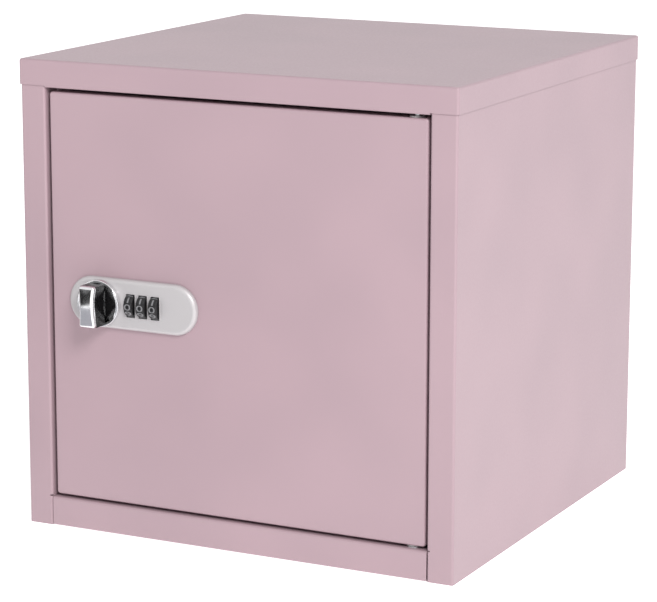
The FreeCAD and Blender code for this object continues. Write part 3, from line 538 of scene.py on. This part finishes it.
class LOCKER_OT_panels(bpy.types.Operator):
    """Folded sheet-steel panels with the coat's rounding on every cut edge"""

    bl_idname = "locker.panels"
    bl_label = "Steel panels"

    def execute(self, context):
        sizes = context.scene.locker_sizes
        for node, body in (
            ("top_panel", "cabinet"),
            ("left_side_panel", "cabinet"),
            ("right_side_panel", "cabinet"),
            ("bottom_panel", "cabinet"),
            ("back_panel", "cabinet"),
            ("door_skin", "door"),
        ):
            piece = merged_copy(node, f"coated_{node}")
            soften(piece, sizes.edge_round)
            dress(piece, "pink_powder_coat")
            stand_for(piece, body, "pink_powder_coat", node)
        return {"FINISHED"}


NODE_FINISHES = {
    "pink_powder_coat": ("strike_plate", "upper_hinge_bracket", "lower_hinge_bracket", "door_stiffener"),
    "zinc_plated_steel": (
        "back_panel_rivets", "hinge_rivets", "upper_hinge_pin", "lower_hinge_pin", "lower_hinge_washer",
        "lock_screws", "wheel_shaft", "detent_spring", "lock_spindle", "cam", "cam_washer", "cam_nut",
    ),
    "grey_nylon": ("upper_hinge_bush", "lower_hinge_bush"),
    "silver_lock_paint": ("lock_housing", "lock_rear_cover"),
    "sleeve_brass": ("clutch_sleeve_1", "clutch_sleeve_2", "clutch_sleeve_3"),
    "bumper_rubber": ("door_bumpers",),
}


class LOCKER_OT_hardware(bpy.types.Operator):
    """Finishes of the hinge pieces, fasteners and the lock's inner pieces"""

    bl_idname = "locker.hardware"
    bl_label = "Hardware finishes"

    def execute(self, context):
        for finish, nodes in NODE_FINISHES.items():
            for node in nodes:
                dress(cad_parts[node], finish)
        return {"FINISHED"}


class LOCKER_OT_faceplate(bpy.types.Operator):
    """Oblong lock plate with its rounded rim, lipped windows and index marks"""

    bl_idname = "locker.faceplate"
    bl_label = "Lock faceplate"

    def execute(self, context):
        sizes = context.scene.locker_sizes
        plate = merged_copy("lock_faceplate", "painted_faceplate")
        soften(plate, PLATE_EDGE)
        dress(plate, "silver_lock_paint")
        stand_for(plate, "door", "silver_lock_paint", "lock_faceplate")
        face = node_box("lock_faceplate")[0].y
        windows = [self.window(number, face, sizes) for number in WHEELS]
        fit_piece(joined(windows, "window_lips"), "door")
        middles = [node_box(f"number_wheel_{number}")[2] for number in WHEELS]
        pitch = middles[1].x - middles[0].x
        spots = [middle.x + pitch / 2 for middle in middles[:-1]]
        marks = [self.mark(x, face, middles[0].z) for x in spots]
        fit_piece(joined(marks, "index_marks"), "door")
        return {"FINISHED"}

    def window(self, number, face, sizes):
        """A thin raised lip round one window."""
        middle = node_box(f"number_wheel_{number}")[2]
        deselect()
        bpy.ops.mesh.primitive_plane_add(
            size=1.0, location=(middle.x, face, middle.z), rotation=(QUARTER_TURN, 0.0, 0.0)
        )
        lip = latest(f"window_lip_{number}")
        across = WINDOW_WIDTH + 2 * sizes.window_lip
        tall = WINDOW_HEIGHT + 2 * sizes.window_lip
        lip.scale = (across, tall, 1.0)
        settle(lip)
        edit(lip)
        bpy.ops.mesh.select_all(action="SELECT")
        bpy.ops.mesh.inset(thickness=sizes.window_lip)
        bpy.ops.mesh.delete(type="FACE")
        leave_edit()
        thicken = lip.modifiers.new("thickness", "SOLIDIFY")
        thicken.thickness = LIP_THICKNESS
        thicken.offset = 0.5
        apply_all(lip)
        soften(lip, PLATE_EDGE)
        dress(lip, "silver_lock_paint")
        return lip

    def mark(self, x, face, level):
        """A small lozenge that marks the line the digits are read on."""
        deselect()
        bpy.ops.mesh.primitive_cylinder_add(
            vertices=4, radius=MARK_RADIUS, depth=MARK_DEPTH, location=(x, face, level),
            rotation=(QUARTER_TURN, 0.0, 0.0),
        )
        mark = latest("index_mark")
        mark.scale = (MARK_SQUASH, 1.0, 1.0)
        settle(mark)
        soften(mark, MARK_EDGE)
        dress(mark, "mark_ink")
        return mark


class LOCKER_OT_wheels(bpy.types.Operator):
    """Number wheels with thumb grooves, dished flanks and wrapped digits"""

    bl_idname = "locker.wheels"
    bl_label = "Number wheels"

    def execute(self, context):
        sizes = context.scene.locker_sizes
        low, high, middle = node_box("number_wheel_1")
        first = self.wheel(low, high, middle, sizes)
        digits = [self.digit(value, low, high, middle, sizes) for value in range(DIGITS)]
        master = joined([first] + digits, "digit_wheel_1")
        for number in WHEELS:
            wheel = master if number == 1 else self.copy_of(master, number, middle)
            stand_for(wheel, f"wheel_{number}", "black_wheel_plastic", f"number_wheel_{number}")
        return {"FINISHED"}

    def copy_of(self, master, number, middle):
        """The first wheel with a mesh of its own, at another wheel's place."""
        wheel = master.copy()
        wheel.data = master.data.copy()
        wheel.name = wheel.data.name = f"digit_wheel_{number}"
        bpy.context.scene.collection.objects.link(wheel)
        wheel.location.x = node_box(f"number_wheel_{number}")[2].x - middle.x
        settle(wheel)
        return wheel

    def wheel(self, low, high, middle, sizes):
        """Rim, dished flanks and bore of one wheel."""
        radius = (high.z - low.z) / 2
        deselect()
        bpy.ops.mesh.primitive_cylinder_add(
            vertices=WHEEL_SIDES, radius=radius, depth=high.x - low.x, location=middle,
            rotation=(0.0, QUARTER_TURN, 0.0),
        )
        wheel = latest("wheel_body")
        settle(wheel)
        wheel.data.materials.append(MATERIALS["black_wheel_plastic"])
        edit(wheel)
        for side in (-1, 1):
            pick(wheel, "faces", lambda f: f.normal.x * side > FACING)
            bpy.ops.mesh.inset(thickness=FLANK_RIM)
            bpy.ops.mesh.inset(thickness=FLANK_STEP)
            bpy.ops.transform.translate(value=(-side * FLANK_DIP, 0.0, 0.0))
            bpy.ops.mesh.inset(thickness=radius - FLANK_RIM - FLANK_STEP - WHEEL_BORE)
            bpy.ops.mesh.delete(type="FACE")
        pick(wheel, "edges", lambda e: e.is_boundary)
        bpy.ops.mesh.bridge_edge_loops()
        pick(wheel, "verts", lambda v: self.on_groove(v.co - middle, radius))
        shrink = 1 - sizes.wheel_groove / radius
        bpy.ops.transform.resize(value=(1.0, shrink, shrink), center_override=middle)
        leave_edit()
        soften(wheel, WHEEL_EDGE, segments=3, angle=40)
        return wheel

    def on_groove(self, offset, radius):
        """Whether a point of the rim lies midway between two digits."""
        if math.hypot(offset.y, offset.z) < RIM_SHARE * radius:
            return False
        turn = math.degrees(math.atan2(offset.z, -offset.y)) / (360 / DIGITS)
        return abs(turn - math.floor(turn) - 0.5) < GROOVE_REACH

    def digit(self, value, low, high, middle, sizes):
        """One digit, cut into strips and wrapped round the rim at its place; 0 faces the front."""
        deselect()
        bpy.ops.object.text_add()
        text = latest(f"digit_{value}")
        text.data.body = str(value)
        text.data.size = sizes.digit_height / DIGIT_CAP
        text.data.align_x = "CENTER"
        only(text)
        bpy.ops.object.convert(target="MESH")
        digit = latest(f"digit_{value}")
        across = max(digit.dimensions.x, DIGIT_LEAST * sizes.digit_height)
        digit.scale.x = min(DIGIT_STRETCH, DIGIT_SHARE * (high.x - low.x) / across)
        settle(digit)
        edit(digit)
        for cut in range(1, DIGIT_STRIPS):
            bpy.ops.mesh.select_all(action="SELECT")
            height = sizes.digit_height * cut / DIGIT_STRIPS
            bpy.ops.mesh.bisect(plane_co=(0.0, height, 0.0), plane_no=(0.0, 1.0, 0.0))
        leave_edit()
        radius = (high.z - low.z) / 2
        reach = radius + sizes.digit_rise
        for vertex in digit.data.vertices:
            turn = math.radians(value * 360 / DIGITS) + (vertex.co.y - sizes.digit_height / 2) / radius
            vertex.co = middle + Vector((vertex.co.x, -reach * math.cos(turn), reach * math.sin(turn)))
        thicken = digit.modifiers.new("thickness", "SOLIDIFY")
        thicken.thickness = 2 * sizes.digit_rise
        thicken.offset = -1.0
        apply_all(digit)
        dress(digit, "digit_ink")
        return digit


class LOCKER_OT_knob(bpy.types.Operator):
    """Chromed cup and chromed cap, with the insert and waisted bar in black as painted reflection of dark
    surroundings in chrome
    """

    bl_idname = "locker.knob"
    bl_label = "Turn knob"

    def execute(self, context):
        sizes = context.scene.locker_sizes
        cup = self.cup(sizes)
        dress(cup, "knob_chrome")
        stand_for(cup, "knob", "knob_chrome", "knob_base")
        # The insert is black as painted reflection: it stands for the dark surroundings that the chrome
        # dish would mirror.
        dish = merged_copy("knob_dish", "black_insert")
        soften(dish, INSERT_EDGE, segments=3)
        dress(dish, "black_dish_plastic")
        stand_for(dish, "knob", "black_dish_plastic", "knob_dish")
        cap = self.bar("chrome_cap", "grip_cap", node_box("grip_cap")[1].y, sizes, sizes.grip_crown)
        dress(cap, "knob_chrome")
        stand_for(cap, "knob", "knob_chrome", "grip_cap")
        # The bar's flanks are black as painted reflection: they stand for the dark surroundings mirrored
        # in chrome.
        grip = self.bar("black_grip", "knob_grip", node_box("knob_base")[0].y - GRIP_GAP, sizes, 0.0)
        self.add_foot(grip, sizes)
        dress(grip, "black_dish_plastic")
        stand_for(grip, "knob", "black_dish_plastic", "knob_grip")
        return {"FINISHED"}

    def cup(self, sizes):
        """Round cup with a rounded rim, a sunk floor and the spindle's bore."""
        low, high, middle = node_box("knob_base")
        radius = (high.z - low.z) / 2
        floor = node_box("knob_dish")[1].y
        wall = radius - (node_box("knob_dish")[1].x - middle.x)
        spindle_low, spindle_high, _ = node_box("lock_spindle")
        bore = (spindle_high.z - spindle_low.z) / 2 + SPINDLE_PLAY
        deselect()
        bpy.ops.mesh.primitive_cylinder_add(
            vertices=CUP_SIDES, radius=radius, depth=high.y - low.y, location=middle,
            rotation=(QUARTER_TURN, 0.0, 0.0),
        )
        cup = latest("chrome_cup")
        settle(cup)
        edit(cup)
        pick(cup, "faces", lambda f: f.normal.y < -FACING)
        bpy.ops.mesh.inset(thickness=wall)
        bpy.ops.mesh.extrude_region_move(TRANSFORM_OT_translate={"value": (0.0, floor - low.y, 0.0)})
        bpy.ops.mesh.inset(thickness=radius - wall - bore)
        bpy.ops.mesh.delete(type="FACE")
        pick(cup, "faces", lambda f: f.normal.y > FACING and f.calc_center_median().y > high.y - CLOSE)
        bpy.ops.mesh.inset(thickness=radius - bore)
        bpy.ops.mesh.delete(type="FACE")
        pick(cup, "edges", lambda e: e.is_boundary)
        bpy.ops.mesh.bridge_edge_loops()
        leave_edit()
        soften(cup, sizes.rim_round, segments=5, angle=40)
        return cup

    def bar(self, name, node, back, sizes, crown):
        """Upright bar of a node's width and height with drawn-in sides, from its front to a depth."""
        low, high, middle = node_box(node)
        deselect()
        bpy.ops.mesh.primitive_cube_add(size=1.0, location=(middle.x, (low.y + back) / 2, middle.z))
        bar = latest(name)
        bar.scale = (high.x - low.x, back - low.y, high.z - low.z)
        settle(bar)
        half = (high.z - low.z) / 2
        edit(bar)
        pick(bar, "edges", lambda e: abs(e.verts[0].co.z - e.verts[1].co.z) > half)
        bpy.ops.mesh.subdivide(number_cuts=GRIP_CUTS)
        mesh = bmesh.from_edit_mesh(bar.data)
        for vertex in mesh.verts:
            rise = (vertex.co.z - middle.z) / half
            side = 1 if vertex.co.x > middle.x else -1
            vertex.co.x -= side * sizes.grip_waist * (1 - rise * rise)
            if vertex.co.y < (low.y + back) / 2:
                vertex.co.y += crown * rise * rise
        bmesh.update_edit_mesh(bar.data)
        if crown:
            pick(bar, "edges", lambda e: self.is_rounded(e, low, back, middle, half))
            bpy.ops.mesh.bevel(offset=sizes.grip_round, segments=GRIP_FACETS, profile=0.5, affect="EDGES")
        leave_edit()
        only(bar)
        bpy.ops.object.shade_smooth_by_angle(angle=math.radians(30))
        return bar

    def add_foot(self, grip, sizes):
        """Draws the foot out of the grip's back as far as its node reaches."""
        _, high, middle = node_box("knob_grip")
        edit(grip)
        pick(grip, "faces", lambda f: f.normal.y > FACING)
        bpy.ops.mesh.dissolve_faces()
        back = max(vertex.co.y for vertex in bmesh.from_edit_mesh(grip.data).verts)
        bpy.ops.mesh.inset(thickness=sizes.grip_waist)
        bpy.ops.transform.resize(value=(1.0, 1.0, GRIP_FOOT), center_override=middle)
        bpy.ops.mesh.extrude_region_move(TRANSFORM_OT_translate={"value": (0.0, high.y - back, 0.0)})
        leave_edit()

    def is_rounded(self, edge, low, back, middle, half):
        """The long edges and ends of the face, and the four edges that run back from its corners."""
        first, second = (vertex.co for vertex in edge.verts)
        centre = (first + second) / 2
        front = all(point.y < (low.y + back) / 2 for point in (first, second))
        at_end = abs(abs(centre.z - middle.z) - half) < CLOSE
        at_side = abs(centre.x - middle.x) > GRIP_SIDE
        runs_back = abs(first.y - second.y) > GRIP_SIDE
        return (front and (at_end or at_side)) or (runs_back and at_end)


class LOCKER_OT_stage(bpy.types.Operator):
    """Pale floor, soft studio light and the camera"""

    bl_idname = "locker.stage"
    bl_label = "Stage"

    def execute(self, context):
        scene = context.scene
        scene.view_settings.view_transform = "Standard"
        scene.view_settings.look = "None"
        self.world(scene)
        self.floor()
        self.lights(scene)
        for name, code in CARD_COLOURS:
            shader = start_material(name, Roughness=1.0)[1]
            shader.inputs["Base Color"].default_value = linear(code)
        self.cards()
        self.camera(scene)
        return {"FINISHED"}

    def world(self, scene):
        """White all round, and dimmer for diffuse light, so that the background stays white."""
        world = bpy.data.worlds.new("studio")
        world.use_nodes = True
        tree = world.node_tree
        background = tree.nodes["Background"]
        background.inputs["Color"].default_value = (1.0, 1.0, 1.0, 1.0)
        path = add_node(tree, "ShaderNodeLightPath").outputs
        direct = add_node(tree, "ShaderNodeMath", settings={"operation": "MAXIMUM"})
        tree.links.new(path["Is Camera Ray"], direct.inputs[0])
        tree.links.new(path["Is Glossy Ray"], direct.inputs[1])
        strength = ramp(tree, direct.outputs[0], 0.0, 1.0, WORLD_DIFFUSE, 1.0)
        tree.links.new(strength, background.inputs["Strength"])
        scene.world = world

    def floor(self):
        """White floor with a glow of its own, which hides the locker's shadow."""
        deselect()
        bpy.ops.mesh.primitive_plane_add(size=FLOOR_SIZE, location=(0.0, 0.0, -FLOOR_DROP))
        floor = latest("studio_floor")
        settle(floor)
        shader = start_material("studio_floor", Roughness=0.9)[1]
        shader.inputs["Base Color"].default_value = (FLOOR_WHITE, FLOOR_WHITE, FLOOR_WHITE, 1.0)
        shader.inputs["Emission Color"].default_value = (1.0, 1.0, 1.0, 1.0)
        shader.inputs["Emission Strength"].default_value = FLOOR_GLOW
        dress(floor, "studio_floor")

    def lights(self, scene):
        """One soft key from the right front, a little above the locker."""
        data = bpy.data.lights.new("key", "AREA")
        data.shape = "SQUARE"
        data.size = KEY_SIZE
        data.energy = KEY_POWER
        data.color = KEY_COLOUR
        lamp = bpy.data.objects.new("key", data)
        target = Vector((0.0, 0.0, KEY_AIM))
        lamp.location = target + KEY_REACH * direction(KEY_TURN, KEY_RISE)
        lamp.rotation_euler = (target - lamp.location).to_track_quat("-Z", "Y").to_euler()
        scene.collection.objects.link(lamp)

    def cards(self):
        """Dark and grey cards that only glossy reflections show, to give chrome its edges."""
        knob = node_box("grip_cap")[2]
        for name, finish, turn, rise, reach, wide, tall in CARDS:
            way = direction(turn, rise)
            deselect()
            bpy.ops.mesh.primitive_plane_add(
                size=1.0, location=knob + reach * way, rotation=way.to_track_quat("Z", "Y").to_euler()
            )
            card = latest(name)
            card.scale = (wide, tall, 1.0)
            settle(card)
            dress(card, finish)
            card.visible_camera = False
            card.visible_diffuse = False
            card.visible_shadow = False

    def camera(self, scene):
        """Long lens from the right front, a little above the locker."""
        data = bpy.data.cameras.new("camera")
        data.lens = scene.locker_sizes.camera_focal
        data.sensor_width = CAMERA_SENSOR
        camera = bpy.data.objects.new("camera", data)
        low, high = CAD_BOUNDS
        height = high[2] - low[2]
        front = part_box("left_side_panel")[0].y
        right, before, up = (share * height for share in CAMERA_PLACE)
        down, roll, turn = (math.radians(angle) for angle in CAMERA_ANGLES)
        camera.location = (right, front - before, up)
        camera.rotation_euler = (QUARTER_TURN - down, roll, turn)
        scene.collection.objects.link(camera)
        scene.camera = camera


class LOCKER_PT_pieces(bpy.types.Panel):
    """Lists the locker's operators in the sidebar"""

    bl_label = "Locker"
    bl_idname = "LOCKER_PT_pieces"
    bl_space_type = "VIEW_3D"
    bl_region_type = "UI"
    bl_category = "Locker"

    def draw(self, context):
        for operator in OPERATORS:
            self.layout.operator(operator.bl_idname)


OPERATORS = (
    LOCKER_OT_hardware,
    LOCKER_OT_panels,
    LOCKER_OT_faceplate,
    LOCKER_OT_wheels,
    LOCKER_OT_knob,
    LOCKER_OT_stage,
)
CLASSES = (LockerColours, LockerSizes) + OPERATORS + (LOCKER_PT_pieces,)


def register():
    for item in CLASSES:
        bpy.utils.register_class(item)
    bpy.types.Scene.locker_colours = bpy.props.PointerProperty(type=LockerColours)
    bpy.types.Scene.locker_sizes = bpy.props.PointerProperty(type=LockerSizes)


def unregister():
    del bpy.types.Scene.locker_sizes
    del bpy.types.Scene.locker_colours
    for item in reversed(CLASSES):
        bpy.utils.unregister_class(item)


def main():
    register()
    make_materials(bpy.context.scene.locker_colours)
    bpy.ops.locker.hardware()
    bpy.ops.locker.panels()
    bpy.ops.locker.faceplate()
    bpy.ops.locker.wheels()
    bpy.ops.locker.knob()
    bpy.ops.locker.stage()


if __name__ == "__main__":
    main()
